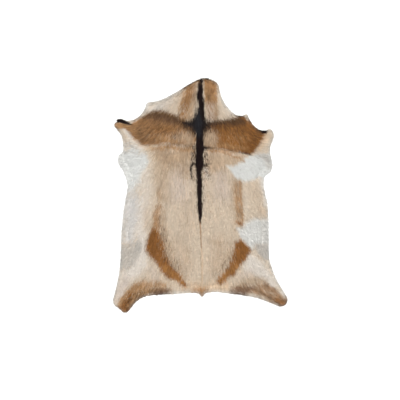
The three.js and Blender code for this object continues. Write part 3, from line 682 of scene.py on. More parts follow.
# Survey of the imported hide

class Survey:
    """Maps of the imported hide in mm: top, underside, and how far each place lies inside the rim.

    pitch is the distance between the places of a map, and margin how far the maps reach past the rim.
    """

    pitch = 2.5
    margin = 30

    def __init__(self, node):
        merged = bmesh.new()
        merged.from_mesh(node.data)
        bmesh.ops.remove_doubles(merged, verts=merged.verts, dist=1e-6)
        merged.normal_update()
        tree = BVHTree.FromBMesh(merged)
        self.rim = self.rim_loop(merged)
        low = self.rim[:, :2].min(axis=0) - self.margin
        high = self.rim[:, :2].max(axis=0) + self.margin
        self.low = low
        self.shape = tuple(np.ceil((high - low) / self.pitch).astype(int) + 1)
        near = kdtree.KDTree(len(self.rim))
        for index, (x, y, z) in enumerate(self.rim):
            near.insert((x, y, 0), index)
        near.balance()
        self.top = np.zeros(self.shape)
        self.under = np.zeros(self.shape)
        self.inside = np.zeros(self.shape)
        for i in range(self.shape[0]):
            x = low[0] + i * self.pitch
            for j in range(self.shape[1]):
                y = low[1] + j * self.pitch
                _, index, gap = near.find((x, y, 0))
                above = tree.ray_cast(Vector((x * MM, y * MM, 1)), Vector((0, 0, -1)))[0]
                if above is None:
                    self.inside[i, j] = -gap
                    self.top[i, j] = self.under[i, j] = self.rim[index, 2]
                    continue
                below = tree.ray_cast(Vector((x * MM, y * MM, -1)), Vector((0, 0, 1)))[0]
                self.inside[i, j] = gap
                self.top[i, j] = above.z / MM
                self.under[i, j] = below.z / MM
        merged.free()
        self.inward_x, self.inward_y = np.gradient(self.blurred(self.inside, 3), self.pitch)

    @staticmethod
    def rim_loop(merged):
        """Return the points of the rim in order, about 1 mm apart, in mm."""
        links = {}
        for edge in merged.edges:
            up = [face.normal.z > 0 for face in edge.link_faces]
            if len(up) == 2 and up[0] != up[1]:
                first, second = edge.verts
                links.setdefault(first, []).append(second)
                links.setdefault(second, []).append(first)
        start = max(links, key=lambda vert: vert.co.y)
        order = [start, links[start][0]]
        while order[-1] is not start:
            onward = [vert for vert in links[order[-1]] if vert is not order[-2]]
            order.append(onward[0])
        corners = np.array([vert.co[:] for vert in order]) / MM
        return resampled(corners, 1.0)

    @staticmethod
    def blurred(values, times):
        """Return the map with each place mixed with its neighbours."""
        for _ in range(times):
            wide = np.pad(values, 1, mode="edge")
            beside = wide[:-2, 1:-1] + wide[2:, 1:-1] + wide[1:-1, :-2] + wide[1:-1, 2:]
            values = (beside + 4 * values) / 8
        return values

    def read(self, values, x, y):
        """Return a map's value at each point."""
        column = np.clip((x - self.low[0]) / self.pitch, 0, self.shape[0] - 1.001)
        row = np.clip((y - self.low[1]) / self.pitch, 0, self.shape[1] - 1.001)
        i, j = column.astype(int), row.astype(int)
        a, b = column - i, row - j
        left = values[i, j] * (1 - b) + values[i, j + 1] * b
        right = values[i + 1, j] * (1 - b) + values[i + 1, j + 1] * b
        return left * (1 - a) + right * a

    def outward(self, x, y):
        """Return the direction from each point to the rim."""
        across, along = -self.read(self.inward_x, x, y), -self.read(self.inward_y, x, y)
        size = np.maximum(np.hypot(across, along), 1e-6)
        return across / size, along / size


@functools.cache
def packed_survey():
    """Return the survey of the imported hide, which is made once."""
    return Survey(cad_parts[HIDE])


def resampled(corners, step):
    """Return points a step apart along a closed line of corners, whose last corner repeats the first."""
    reach = np.concatenate([[0], np.cumsum(np.linalg.norm(np.diff(corners, axis=0), axis=1))])
    places = np.arange(0, reach[-1], step)
    return np.stack([np.interp(places, reach, corners[:, k]) for k in range(corners.shape[1])], axis=1)


# Colour of the coat

def beside_segment(x, y, start, end):
    """Return how far along a segment each point lies, from 0 to 1, and how far from it."""
    (ax, ay), (bx, by) = start, end
    share = ((x - ax) * (bx - ax) + (y - ay) * (by - ay)) / ((bx - ax) ** 2 + (by - ay) ** 2)
    share = np.clip(share, 0, 1)
    return share, np.hypot(x - ax - share * (bx - ax), y - ay - share * (by - ay))


def line_depth(x, y, line):
    """Return how far each point is inside a line of changing width, negative outside it."""
    depth = np.full(x.shape, -1e9)
    for (*start, first), (*end, last) in zip(line, line[1:]):
        share, gap = beside_segment(x, y, start, end)
        depth = np.maximum(depth, first + share * (last - first) - gap)
    return depth


def patch_depth(x, y, corners):
    """Return how far each point is inside a patch, negative outside it."""
    gap = np.full(x.shape, 1e9)
    within = np.zeros(x.shape, bool)
    for start, end in zip(corners, corners[1:] + corners[:1]):
        gap = np.minimum(gap, beside_segment(x, y, start, end)[1])
        (ax, ay), (bx, by) = start, end
        if ay != by:
            within ^= ((ay > y) != (by > y)) & (x < ax + (y - ay) * (bx - ax) / (by - ay))
    return np.where(within, gap, -gap)


def coat_colour(x, y, survey, stray=0.0, pick=1.0):
    """Return the coat's linear colour at points in mm.

    stray is how far a lock's colour strays over a soft edge. pick is the lock's number from 0 to 1: among
    ticks, locks whose number lies under the place's share take the tone, and the others keep theirs. The
    painted grey shade of the edge is laid just before the first marking that is a rim.
    """
    tones = bpy.context.scene.hide_coat_tones
    inside = survey.read(survey.inside, x, y)
    out_x, out_y = survey.outward(x, y)
    short = np.clip(EDGE_READ - inside, 0, Survey.margin)
    inner_x, inner_y = x - short * out_x, y - short * out_y
    wander_x, wander_y = inner_x, inner_y
    for turn, (far, size) in enumerate(WANDERS):
        wander_x = wander_x + far * lumps(x, y, size, 1 + turn)
        wander_y = wander_y + far * lumps(x, y, size, 3 + turn)
    colour = np.tile(np.array(tones.cream[:]), x.shape + (1,))
    # Painted shade along the edge: hair within reach of the rim is greyed and darkened
    rim = (EDGE_SHADE * ease(1 - inside / EDGE_SHADE_REACH))[..., None]
    for place, name, softness, strength, kind, points in MARKINGS:
        px, py = (wander_x, wander_y) if softness >= WANDERING else (inner_x, inner_y)
        if kind == "rim":
            tint = np.array(tones.rim[:]) * colour.mean(axis=-1, keepdims=True) * EDGE_SHADE_LIGHTNESS
            colour += rim * (tint - colour)
            rim = 0
            px, py = x, y
        depth = patch_depth(px, py, points) if kind == "patch" else line_depth(px, py, points)
        share = ease(depth / (BLEND * softness) + 0.5 + stray) * strength
        if kind == "ticks":
            share = np.where(pick < share, TICK_STRENGTH, 0.0)
        colour += share[..., None] * (np.array(getattr(tones, name)[:]) - colour)
    return colour


# Growth of the hair

def nearness(x, y, px, py, reach):
    """Return how strongly a place works at each point: 1 at the place itself, and little past its reach."""
    return np.exp(-((x - px) ** 2 + (y - py) ** 2) / (2 * reach ** 2))


def lie_of_hair(x, y, survey):
    """Return the direction that the hair points in at each point."""
    across = np.zeros(x.shape)
    along = np.full(x.shape, -1e-6)
    for place, px, py, (dx, dy), reach in HAIR_LIE:
        weight = nearness(x, y, px, py, reach)
        across += weight * dx
        along += weight * dy
    size = np.hypot(across, along)
    across, along = across / size, along / size
    for px, py, reach, turn in WHORLS:
        weight = turn * nearness(x, y, px, py, reach) / reach
        across -= weight * (y - py)
        along += weight * (x - px)
    out_x, out_y = survey.outward(x, y)
    pull = EDGE_PULL * ease(1 - survey.read(survey.inside, x, y) / PULL_REACH)
    across, along = across + pull * out_x, along + pull * out_y
    size = np.maximum(np.hypot(across, along), 1e-6)
    return across / size, along / size


def length_share(x, y):
    """Return the hair's length at each point as a share of its length on the back."""
    share = np.ones(x.shape)
    for place, px, py, reach, factor in HAIR_LENGTHS:
        share *= factor ** nearness(x, y, px, py, reach)
    return share


def nearest_clump(x, y, size, seed):
    """Return the place of the clump that each lock belongs to, and three numbers from -1 to 1 of its own."""
    stray = 0.45
    column, row = np.floor(x / size), np.floor(y / size)
    best = np.full(x.shape, np.inf)
    found = [np.zeros(x.shape) for _ in range(5)]
    for across in (-1, 0, 1):
        for along in (-1, 0, 1):
            i, j = column + across, row + along
            px = (i + 0.5 + stray * chance(i, j, seed)) * size
            py = (j + 0.5 + stray * chance(i, j, seed + 1)) * size
            gap = (x - px) ** 2 + (y - py) ** 2
            closer = gap < best
            best = np.where(closer, gap, best)
            offers = (px, py, chance(i, j, seed + 2), chance(i, j, seed + 3), chance(i, j, seed + 4))
            found = [np.where(closer, offer, kept) for offer, kept in zip(offers, found)]
    return found


class Locks:
    """Locks of hair: their points from root to tip, their widths and their colours, with lengths in mm."""

    def __init__(self, x, y, survey, rings, seed, fineness=1.0):
        coat = bpy.context.scene.hide_coat
        skin = bpy.context.scene.hide_skin
        rng = np.random.default_rng(seed)
        count = len(x)
        clump_x, clump_y, twist, clump_tone, clump_lift = nearest_clump(x, y, coat.clump / MM, coat.seed)
        dir_x, dir_y = lie_of_hair(0.5 * (x + clump_x), 0.5 * (y + clump_y), survey)
        heading = np.arctan2(dir_y, dir_x) + CLUMP_TURN * twist + LOCK_TURN * rng.normal(size=count)
        dir_x, dir_y = np.cos(heading), np.sin(heading)
        length = coat.length / MM * length_share(x, y) * rng.uniform(*LENGTH_RANGE, count)
        gather = coat.gather * rng.uniform(*GATHER_RANGE, count)
        tip_x = x + length * dir_x + gather * (clump_x - x)
        tip_y = y + length * dir_y + gather * (clump_y - y)
        overhang = coat.overhang / MM * length_share(x, y) ** 2 * rng.uniform(*OVERHANG_RANGE, count)
        tip_x, tip_y = self.drawn_back(x, y, tip_x, tip_y, overhang, survey)
        self.length = np.hypot(tip_x - x, tip_y - y)
        sway = SWAY * self.length * rng.normal(size=count)
        side_x, side_y = -(tip_y - y) / self.length, (tip_x - x) / self.length
        lift = np.clip(rng.uniform(0, 1, count) ** LIFT_POWER + CLUMP_LIFT * clump_lift, *LIFT_RANGE)
        along, rises, self.fullness = LOCK_SHAPES[rings]
        self.along = np.array(along)
        self.points = np.zeros((count, rings + 2, 3))
        for station, (share, rise) in enumerate(zip(along, rises)):
            bow = sway * math.sin(math.pi * share)
            px = x + share * (tip_x - x) + bow * side_x
            py = y + share * (tip_y - y) + bow * side_y
            grain = survey.read(survey.under, px, py) + skin.thickness / MM
            depth = np.maximum(survey.read(survey.top, px, py) - grain, LEAST_DEPTH)
            height = grain + (depth * lift * rise if station else rise)
            self.points[:, station] = np.stack([px, py, height], axis=1)
        low = survey.read(survey.inside, tip_x, tip_y) < LOW_TIPS
        self.points[low, -1, 2] = np.maximum(self.points[low, -1, 2] / 2, LEAST_TIP)
        self.width = coat.width / MM * fineness * rng.uniform(*WIDTH_RANGE, count)
        self.paint(rng, clump_tone, survey)

    @staticmethod
    def drawn_back(x, y, tip_x, tip_y, overhang, survey):
        """Return the tips, drawn back to the roots where they pass the rim by more than the overhang."""
        rounds, left = 12, 0.85
        for _ in range(rounds):
            past = survey.read(survey.inside, tip_x, tip_y) < -overhang
            tip_x = np.where(past, x + left * (tip_x - x), tip_x)
            tip_y = np.where(past, y + left * (tip_y - y), tip_y)
        return tip_x, tip_y

    def paint(self, rng, clump_tone, survey):
        """Give each lock the coat's colour, in streaks along the hair and with its own grizzle."""
        count = len(self.length)
        reach = rng.normal(*COLOUR_PLACE, count)[:, None]
        root, tip = self.points[:, 0, :2], self.points[:, -1, :2]
        middle = root + reach * (tip - root)
        onward = (tip - root) / self.length[:, None]
        streak = np.zeros(count)
        for step in range(-4, 5):
            streak += sum(
                strength * lumps(*(middle + stride * step * onward).T, width, seed)
                for stride, width, strength, seed in STREAKS
            )
        change = CLUMP_PART * clump_tone + STREAK_PART * streak + LOCK_PART * rng.normal(size=count)
        stray = STRAY * rng.normal(size=count)
        pick = rng.uniform(0, 1, count)
        self.colour = np.zeros(self.points.shape)
        for station in range(self.points.shape[1]):
            place = middle + 0.5 * (self.points[:, station, :2] - middle)
            colour = coat_colour(place[:, 0], place[:, 1], survey, stray, pick)
            light = colour @ np.array(LIGHTNESS)
            grizzle = PALE_GRIZZLE + DARK_GRIZZLE * ease((GRIZZLE_LIGHT - light) / GRIZZLE_SPAN)
            self.colour[:, station] = np.clip(colour * np.exp(grizzle * change)[:, None], *HAIR_RANGE)

    def chosen(self, order):
        """Return a copy that has only the chosen locks, in the order given."""
        part = copy.copy(self)
        for name in ("length", "points", "width", "colour"):
            setattr(part, name, getattr(self, name)[order])
        return part

    def in_strips(self):
        """Return a copy whose locks are ordered in strips across the hide, so that neighbours stay near."""
        strip_mm = 10
        strip = np.floor(self.points[:, 0, 1] / strip_mm)
        return self.chosen(np.lexsort((self.points[:, 0, 0], strip)))


def mesh_object(name, vertices, triangles):
    """Return a new object whose smooth mesh has these vertices, in mm, and triangles."""
    mesh = bpy.data.meshes.new(name)
    mesh.vertices.add(len(vertices))
    mesh.vertices.foreach_set("co", (vertices * MM).astype(np.float32).ravel())
    mesh.loops.add(triangles.size)
    mesh.loops.foreach_set("vertex_index", triangles.astype(np.int32).ravel())
    mesh.polygons.add(len(triangles))
    mesh.polygons.foreach_set("loop_start", np.arange(0, triangles.size, 3, dtype=np.int32))
    mesh.polygons.foreach_set("use_smooth", np.ones(len(triangles), bool))
    mesh.update(calc_edges=True)
    piece = bpy.data.objects.new(name, mesh)
    bpy.context.scene.collection.objects.link(piece)
    return piece


def add_attribute(mesh, name, values, kind="FLOAT_COLOR"):
    """Store a colour or a number on each vertex."""
    attribute = mesh.attributes.new(name, kind, "POINT")
    if kind == "FLOAT_COLOR":
        values = np.concatenate([values, np.ones((len(values), 1))], axis=1)
        attribute.data.foreach_set("color", values.astype(np.float32).ravel())
    else:
        attribute.data.foreach_set("value", values.astype(np.float32).ravel())


def lock_mesh(name, locks):
    """Return an object that holds each lock as a closed spindle with three sides."""
    count, stations = locks.points.shape[:2]
    rings = stations - 2
    each = 2 + 3 * rings
    line = locks.points
    onward = line[:, -1] - line[:, 0]
    onward[:, 2] = 0
    onward /= np.maximum(np.linalg.norm(onward, axis=1), 1e-6)[:, None]
    side = np.stack([-onward[:, 1], onward[:, 0], np.zeros(count)], axis=1)
    vertices = np.zeros((count, each, 3))
    vertices[:, 0] = line[:, 0]
    vertices[:, -1] = line[:, -1]
    for ring, full in enumerate(locks.fullness):
        half = (0.5 * full * locks.width)[:, None]
        middle = line[:, ring + 1]
        base = 1 + 3 * ring
        vertices[:, base] = middle + side * half
        vertices[:, base + 1] = middle - side * half
        vertices[:, base + 2] = middle
        vertices[:, base:base + 2, 2] -= SIDE_DROP * half
        vertices[:, base + 2, 2] += RIDGE_RISE * half[:, 0]
    faces = []
    for a in range(3):
        b = (a + 1) % 3
        faces.append((0, 1 + a, 1 + b))
        for ring in range(rings - 1):
            low, high = 1 + 3 * ring, 4 + 3 * ring
            faces.append((low + a, high + a, high + b))
            faces.append((low + a, high + b, low + b))
        last = 1 + 3 * (rings - 1)
        faces.append((each - 1, last + b, last + a))
    faces = np.array(faces)
    triangles = (np.arange(count)[:, None, None] * each + faces[None]).reshape(-1, 3)
    piece = mesh_object(name, vertices.reshape(-1, 3), triangles)
    station = np.array([0] + [1 + k // 3 for k in range(3 * rings)] + [rings + 1])
    add_attribute(piece.data, "coat", locks.colour[:, station].reshape(-1, 3))
    add_attribute(piece.data, "along", np.tile(locks.along[station], count), "FLOAT")
    lock_map(piece.data, count, each, rings, locks.along[station], faces)
    return piece


def lock_map(mesh, count, each, rings, along, faces):
    """Give each lock a small cell of its own on a map for its colours."""
    map_size, cell_wide, cell_high = 1024, 3, 11
    columns = map_size // cell_wide
    across = np.array([1.5] + [0.6, 2.4, 1.5] * rings + [1.5])
    up = 0.5 + along * (cell_high - 1)
    number = np.arange(count)
    u = ((number % columns) * cell_wide)[:, None] + across[None]
    v = ((number // columns) * cell_high)[:, None] + up[None]
    corners = np.stack([u, v], axis=2)[:, faces].reshape(-1, 2) / map_size
    layer = mesh.uv_layers.new(name="OFBake")
    layer.data.foreach_set("uv", corners.astype(np.float32).ravel())


# Materials

def add_node(tree, kind, settings=()):
    """Add a node. Each setting or input has a name or number, and a value or another node's output."""
    node = tree.nodes.new(kind)
    for name, value in dict(settings).items():
        if isinstance(value, bpy.types.NodeSocket):
            tree.links.new(value, node.inputs[name])
        elif isinstance(name, int) or not hasattr(node, name):
            node.inputs[name].default_value = value
        else:
            setattr(node, name, value)
    return node


def new_material(name):
    """Return a new material, its empty node tree, and the place on the object as an output."""
    material = bpy.data.materials.new(name)
    material.use_nodes = True
    tree = material.node_tree
    tree.nodes.clear()
    return material, tree, add_node(tree, "ShaderNodeTexCoord").outputs["Object"]


def noise(tree, place, scale, detail, roughness=0.5):
    """Add fixed noise on the object, and return its value."""
    settings = {"Vector": place, "Scale": scale, "Detail": detail, "Roughness": roughness}
    return add_node(tree, "ShaderNodeTexNoise", settings).outputs["Fac"]


def spread(tree, value, low, high, first, last):
    """Turn a value that runs from low to high into one that runs from first to last, and return it."""
    settings = {"Value": value, "From Min": low, "From Max": high, "To Min": first, "To Max": last}
    return add_node(tree, "ShaderNodeMapRange", settings).outputs["Result"]


def mixed(tree, share, colour, other):
    """Mix a share of the other colour into a colour, and return the mix."""
    settings = {"data_type": "RGBA", "Factor": share, "A": colour, "B": other}
    return add_node(tree, "ShaderNodeMix", settings).outputs["Result"]


def scaled(tree, colour, strength):
    """Make a colour lighter or darker by a strength, and return it."""
    settings = {"operation": "SCALE", 0: colour, "Scale": strength}
    return add_node(tree, "ShaderNodeVectorMath", settings).outputs["Vector"]


def stored(tree, name, output="Color"):
    """Return what is stored on the mesh under a name."""
    return add_node(tree, "ShaderNodeAttribute", {"attribute_name": name}).outputs[output]


def add_surface(tree, settings):
    """Add the surface with its settings, and join it to the material's output."""
    surface = add_node(tree, "ShaderNodeBsdfPrincipled", settings)
    add_node(tree, "ShaderNodeOutputMaterial", {"Surface": surface.outputs["BSDF"]})


def goat_hair():
    """Goat hair: smooth keratin strands that lie together.

    To the eye it is soft and satin. Its colour is painted darker towards the roots, as painted shade of the
    depth where little light comes in, and lighter at its tips, as painted light.
    """
    material, tree, place = new_material("Goat hair")
    # Painted shade and light along each lock: the colour is darker at the root and lighter at the tip
    ramp = add_node(tree, "ShaderNodeValToRGB", {"Fac": stored(tree, "along", "Fac")})
    ramp.color_ramp.elements[0].color = (0.82, 0.80, 0.78, 1)
    ramp.color_ramp.elements[1].color = (1.06, 1.05, 1.04, 1)
    middle = ramp.color_ramp.elements.new(0.5)
    middle.color = (0.98, 0.97, 0.96, 1)
    strands = spread(tree, noise(tree, place, 900, 2), 0.3, 0.7, 0.86, 1.1)
    depth = add_node(tree, "ShaderNodeVectorMath", {
        "operation": "MULTIPLY", 0: stored(tree, "coat"), 1: ramp.outputs["Color"],
    })
    add_surface(tree, {
        "Base Color": scaled(tree, depth.outputs["Vector"], strands),
        "Roughness": 0.58, "IOR": 1.55, "Specular IOR Level": 0.07,
    })
    return material


def hair_material():
    """Return the goat hair's material, made when it is first asked for."""
    return bpy.data.materials.get("Goat hair") or goat_hair()


def hair_roots():
    """The grain side of the hide, thick with hair roots: a matt ground that shows only between the locks."""
    material, tree, place = new_material("Hide grain with hair roots")
    # The coat's colour is darkened here as painted shade of the depth of the coat between the locks, with a
    # little noise of pores
    pores_and_shade = spread(tree, noise(tree, place, 700, 3), 0.3, 0.7, 0.7, 0.95)
    add_surface(tree, {
        "Base Color": scaled(tree, stored(tree, "coat"), pores_and_shade),
        "Roughness": 0.8, "IOR": 1.5, "Specular IOR Level": 0.2,
    })
    return material


def flesh_suede():
    """The flesh side of a tanned hide, shaved and buffed: dry pale suede with a short nap.

    It has clouds and faint veins, the colour of the hair shows through a little, and its edge is yellow.
    """
    skin = bpy.context.scene.hide_skin
    material, tree, place = new_material("Buffed suede flesh side")
    shade = (*skin.suede_shade, 1)
    clouds = spread(tree, noise(tree, place, 9, 5, 0.6), 0.4, 0.72, 0, 1)
    colour = mixed(tree, clouds, (*skin.suede, 1), shade)
    colour = mixed(tree, 0.1, colour, stored(tree, "coat"))
    bend = add_node(tree, "ShaderNodeTexNoise", {"Vector": place, "Scale": 14, "Detail": 2})
    bent = add_node(tree, "ShaderNodeVectorMath", {
        "operation": "MULTIPLY_ADD", 0: bend.outputs["Color"], 1: (0.06, 0.06, 0), 2: place,
    })
    vein = add_node(tree, "ShaderNodeTexVoronoi", {
        "feature": "DISTANCE_TO_EDGE", "Vector": bent.outputs["Vector"], "Scale": 11,
    })
    colour = mixed(tree, spread(tree, vein.outputs["Distance"], 0, 0.035, 0.35, 0), colour, shade)
    edge = spread(tree, stored(tree, "inside", "Fac"), 4, 26, 0.75, 0)
    colour = mixed(tree, edge, colour, (*skin.suede_edge, 1))
    nap = add_node(tree, "ShaderNodeBump", {
        "Height": noise(tree, place, 900, 3), "Strength": 0.35, "Distance": 0.0006,
    })
    add_surface(tree, {
        "Base Color": colour, "Normal": nap.outputs["Normal"],
        "Roughness": 0.9, "IOR": 1.5, "Specular IOR Level": 0.15,
        "Sheen Weight": 0.25, "Sheen Roughness": 0.5,
    })
    return material


def studio_floor():
    """A matt painted studio floor: pale and even, so that the hide's edge reads clearly."""
    material, tree, place = new_material("Matt studio floor")
    grain = spread(tree, noise(tree, place, 60, 2), 0, 1, 0.99, 1)
    add_surface(tree, {
        "Base Color": scaled(tree, bpy.context.scene.hide_stage.floor, grain),
        "Roughness": 0.9, "Specular IOR Level": 0.1,
    })
    return material


def declare(piece, *materials):
    """Dress a piece, and say that it rides on the hide's body."""
    for material in materials:
        piece.data.materials.append(material)
    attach(piece, BODY)


# Skin

def smoothed(loop, weight):
    """Return a closed line with each point, of the given weight, mixed with its two neighbours."""
    return (np.roll(loop, 1, axis=0) + weight * loop + np.roll(loop, -1, axis=0)) / (weight + 2)


def skin_outline(survey, inset):
    """Return the cut edge of the skin: the rim without the teeth of its hair, moved inwards step by step."""
    smoothings, moves, move, edge_step = 6, 12, 0.5, 5.0
    loop = survey.rim[::4, :2]
    for _ in range(smoothings):
        loop = smoothed(loop, 2)
    for _ in range(moves):
        short = np.clip(inset - survey.read(survey.inside, loop[:, 0], loop[:, 1]), 0, None)[:, None]
        out_x, out_y = survey.outward(loop[:, 0], loop[:, 1])
        loop = smoothed(loop - move * short * np.stack([out_x, out_y], axis=1), 6)
    return resampled(np.concatenate([loop, loop[:1]]), edge_step)


def staggered(loop, spacing):
    """Return points all over the box of a loop, in rows that are set off from each other by half a space."""
    row_share = 0.866
    low, high = loop.min(axis=0), loop.max(axis=0)
    rows = np.arange(low[1], high[1], spacing * row_share)
    x, y = np.meshgrid(np.arange(low[0], high[0], spacing), rows)
    x = x + np.where(np.arange(len(rows)) % 2, spacing / 2, 0)[:, None]
    return x.ravel(), y.ravel()


def flat_sheet(outline, grid):
    """Return the flat points of the skin, its triangles, all facing up, and its area in square mm."""
    x, y = staggered(outline, grid)
    clear_of_edge = 0.6 * grid
    roomy = patch_depth(x, y, [tuple(corner) for corner in outline]) > clear_of_edge
    flat = np.concatenate([outline, np.stack([x[roomy], y[roomy]], axis=1)])
    ring = len(outline)
    edges = [(i, (i + 1) % ring) for i in range(ring)]
    corners, _, faces, _, _, _ = geometry.delaunay_2d_cdt([Vector(p) for p in flat], edges, [], 1, 1e-5)
    corners = np.array([c[:] for c in corners])
    faces = np.array([face for face in faces if len(face) == 3])
    first, second, third = (corners[faces[:, k]] for k in range(3))
    turn = (second[:, 0] - first[:, 0]) * (third[:, 1] - first[:, 1])
    turn -= (second[:, 1] - first[:, 1]) * (third[:, 0] - first[:, 0])
    faces[turn < 0] = faces[turn < 0][:, ::-1]
    return corners, faces, 0.5 * np.abs(turn).sum()


def make_skin(survey):
    """Lay the tanned skin, a thin sheet under the hair, and return it with its area in square metres."""
    skin = bpy.context.scene.hide_skin
    outline = skin_outline(survey, skin.inset / MM)
    corners, faces, area = flat_sheet(outline, skin.grid / MM)
    above_floor = 0.2
    height = np.maximum(survey.read(survey.under, corners[:, 0], corners[:, 1]), above_floor)
    piece = mesh_object("hide_skin", np.column_stack([corners, height]), faces)
    bpy.ops.object.select_all(action="DESELECT")
    bpy.context.view_layer.objects.active = piece
    piece.select_set(True)
    wall = piece.modifiers.new("Skin thickness", "SOLIDIFY")
    wall.thickness = skin.thickness
    wall.offset = 1
    bpy.ops.object.modifier_apply(modifier=wall.name)
    mesh = piece.data
    place = np.zeros(len(mesh.vertices) * 3, np.float32)
    mesh.vertices.foreach_get("co", place)
    place = place.reshape(-1, 3) / MM
    add_attribute(mesh, "coat", coat_colour(place[:, 0], place[:, 1], survey))
    add_attribute(mesh, "inside", survey.read(survey.inside, place[:, 0], place[:, 1]), "FLOAT")
    flesh = np.array([polygon.normal.z < 0.2 for polygon in mesh.polygons])
    mesh.polygons.foreach_set("material_index", flesh.astype(np.int32))
    skin_map(mesh, place, flesh, outline)
    declare(piece, hair_roots(), flesh_suede())
    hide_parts(HIDE)
    return piece, area * MM * MM


def skin_map(mesh, place, flesh, outline):
    """Map the hair side to the left half of the square of the map, and the flesh side to the right."""
    margin = 0.005
    low, high = outline.min(axis=0), outline.max(axis=0)
    scale = 0.98 / max(2 * (high[0] - low[0]), high[1] - low[1])
    corner = np.zeros(len(mesh.loops), np.int32)
    mesh.loops.foreach_get("vertex_index", corner)
    right = np.repeat(flesh, [polygon.loop_total for polygon in mesh.polygons])
    u = (place[corner, 0] - low[0]) * scale + np.where(right, 0.5, margin)
    v = (place[corner, 1] - low[1]) * scale + margin
    layer = mesh.uv_layers.new(name="OFBake")
    layer.data.foreach_set("uv", np.stack([u, v], axis=1).astype(np.float32).ravel())


# Coat

BANDS = ["left_flank_hair", "left_side_hair", "back_hair", "right_side_hair", "right_flank_hair"]


def coat_roots(survey):
    """Return the places of the roots: a jittered grid all over the skin."""
    coat = bpy.context.scene.hide_coat
    spacing = coat.spacing / MM
    jitter = 0.4
    rng = np.random.default_rng(coat.seed)
    x, y = staggered(survey.rim[:, :2], spacing)
    x = x + rng.uniform(-jitter, jitter, len(x)) * spacing
    y = y + rng.uniform(-jitter, jitter, len(y)) * spacing
    return on_skin(x, y, survey)


def on_skin(x, y, survey):
    """Return those of the points that lie on the skin."""
    rooted = survey.read(survey.inside, x, y) > bpy.context.scene.hide_skin.inset / MM
    return x[rooted], y[rooted]


def make_coat(survey, material):
    """Grow the lying hair, in five long bands from neck to tail."""
    coat = bpy.context.scene.hide_coat
    locks = Locks(*coat_roots(survey), survey, 1, coat.seed + 1)
    across = np.argsort(locks.points[:, 0, 0], kind="stable")
    for name, share in zip(BANDS, np.array_split(across, len(BANDS))):
        declare(lock_mesh(name, locks.chosen(share).in_strips()), material)


def make_rim_hair(survey, material):
    """Grow the finer locks at the edge of the hide, which fall over the skin's cut edge."""
    coat = bpy.context.scene.hide_coat
    rng = np.random.default_rng(coat.seed + 2)
    step = coat.rim_spacing
    rim = resampled(np.concatenate([survey.rim, survey.rim[:1]])[:, :2], step / MM)
    out_x, out_y = survey.outward(rim[:, 0], rim[:, 1])
    x, y = [], []
    for row_inset in RIM_ROWS:
        jitter = rng.uniform(-0.5, 0.5, len(rim)) * step / MM
        inset = row_inset * rng.uniform(0.8, 1.2, len(rim))
        x.append(rim[:, 0] - inset * out_x - jitter * out_y)
        y.append(rim[:, 1] - inset * out_y + jitter * out_x)
    x, y = on_skin(np.concatenate(x), np.concatenate(y), survey)
    locks = Locks(x, y, survey, 2, coat.seed + 3, fineness=0.75)
    declare(lock_mesh(RIM_HAIR, locks.in_strips()), material)


# Stage: sizes and places in metres, and the width of the camera's sensor in mm

FLOOR_SIZE = 12
LAMP_SIZE = 3
LAMP_PLACE = (-0.4, 0.4, 3)
VIEW_MIDDLE = (-0.0005, -0.0188)
SENSOR = 36


def make_stage():
    """Set up the floor, the soft studio light and the camera that looks straight down."""
    stage = bpy.context.scene.hide_stage
    bpy.ops.object.select_all(action="DESELECT")
    bpy.ops.mesh.primitive_plane_add(size=FLOOR_SIZE, location=(0, 0, 0))
    floor = bpy.context.object
    floor.name = "studio_floor"
    floor.data.materials.append(studio_floor())
    world = bpy.data.worlds.new("Soft dome")
    world.use_nodes = True
    dome = world.node_tree.nodes["Background"]
    dome.inputs["Color"].default_value = (1, 1, 1, 1)
    dome.inputs["Strength"].default_value = stage.dome
    bpy.context.scene.world = world
    bpy.ops.object.light_add(type="AREA", location=LAMP_PLACE)
    lamp = bpy.context.object
    lamp.name = "Overhead softbox"
    lamp.data.shape = "SQUARE"
    lamp.data.size = LAMP_SIZE
    lamp.data.energy = stage.key
    lamp.rotation_euler = (-lamp.location).to_track_quat("-Z", "Y").to_euler()
    height = stage.frame_width * stage.focal_length / SENSOR
    bpy.ops.object.camera_add(location=(*VIEW_MIDDLE, height), rotation=(0, 0, 0))
    camera = bpy.context.object
    camera.data.lens = stage.focal_length
    camera.data.sensor_width = SENSOR
    camera.data.dof.use_dof = False
    bpy.context.scene.camera = camera
    bpy.context.scene.view_settings.view_transform = "Standard"


# Operators

class HIDE_OT_stage(bpy.types.Operator):
    """Set up the floor, the lights and the camera"""
    bl_idname = "hide.stage"
    bl_label = "Stage"

    def execute(self, context):
        make_stage()
        return {"FINISHED"}


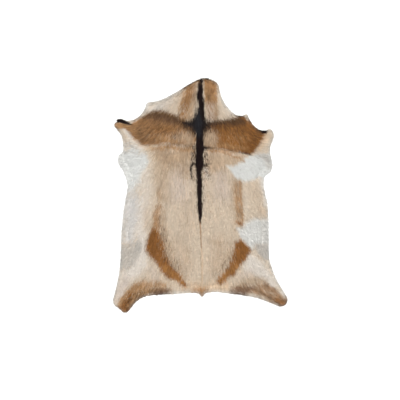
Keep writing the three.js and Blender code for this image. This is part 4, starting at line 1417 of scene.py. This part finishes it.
class HIDE_OT_coat(bpy.types.Operator):
    """Grow the lying hair in its five bands"""
    bl_idname = "hide.coat"
    bl_label = "Coat"

    def execute(self, context):
        make_coat(packed_survey(), hair_material())
        return {"FINISHED"}


class HIDE_OT_rim_hair(bpy.types.Operator):
    """Grow the longer hair along the edge of the hide"""
    bl_idname = "hide.rim_hair"
    bl_label = "Rim hair"

    def execute(self, context):
        make_rim_hair(packed_survey(), hair_material())
        return {"FINISHED"}


class HIDE_OT_skin(bpy.types.Operator):
    """Lay the tanned skin under the hair that has been grown, and measure it as one sheet"""
    bl_idname = "hide.skin"
    bl_label = "Skin"

    def execute(self, context):
        skin, area = make_skin(packed_survey())
        return {"FINISHED"}


class HIDE_PT_panel(bpy.types.Panel):
    """Lists the hide's settings and the steps that make it"""
    bl_label = "Goatskin Rug"
    bl_space_type = "VIEW_3D"
    bl_region_type = "UI"
    bl_category = "Goatskin"

    def draw(self, context):
        for step in STEPS:
            self.layout.operator(step.bl_idname)
        for settings in SETTINGS:
            group = getattr(context.scene, settings)
            for name in group.__annotations__:
                self.layout.prop(group, name)


SETTINGS = {
    "hide_skin": HideSkinSettings,
    "hide_coat": HideCoatSettings,
    "hide_coat_tones": HideCoatTones,
    "hide_stage": HideStageSettings,
}
STEPS = [HIDE_OT_stage, HIDE_OT_coat, HIDE_OT_rim_hair, HIDE_OT_skin]


def register():
    """Register the settings, the operators and the panel."""
    for name, group in SETTINGS.items():
        bpy.utils.register_class(group)
        setattr(bpy.types.Scene, name, PointerProperty(type=group))
    for tool in (*STEPS, HIDE_PT_panel):
        bpy.utils.register_class(tool)


def unregister():
    """Take the settings, the operators and the panel away again."""
    for tool in (HIDE_PT_panel, *reversed(STEPS)):
        bpy.utils.unregister_class(tool)
    for name, group in SETTINGS.items():
        delattr(bpy.types.Scene, name)
        bpy.utils.unregister_class(group)


def main():
    """Make the whole rug and its stage."""
    register()
    bpy.ops.hide.stage()
    bpy.ops.hide.coat()
    bpy.ops.hide.rim_hair()
    bpy.ops.hide.skin()


if __name__ == "__main__":
    main()
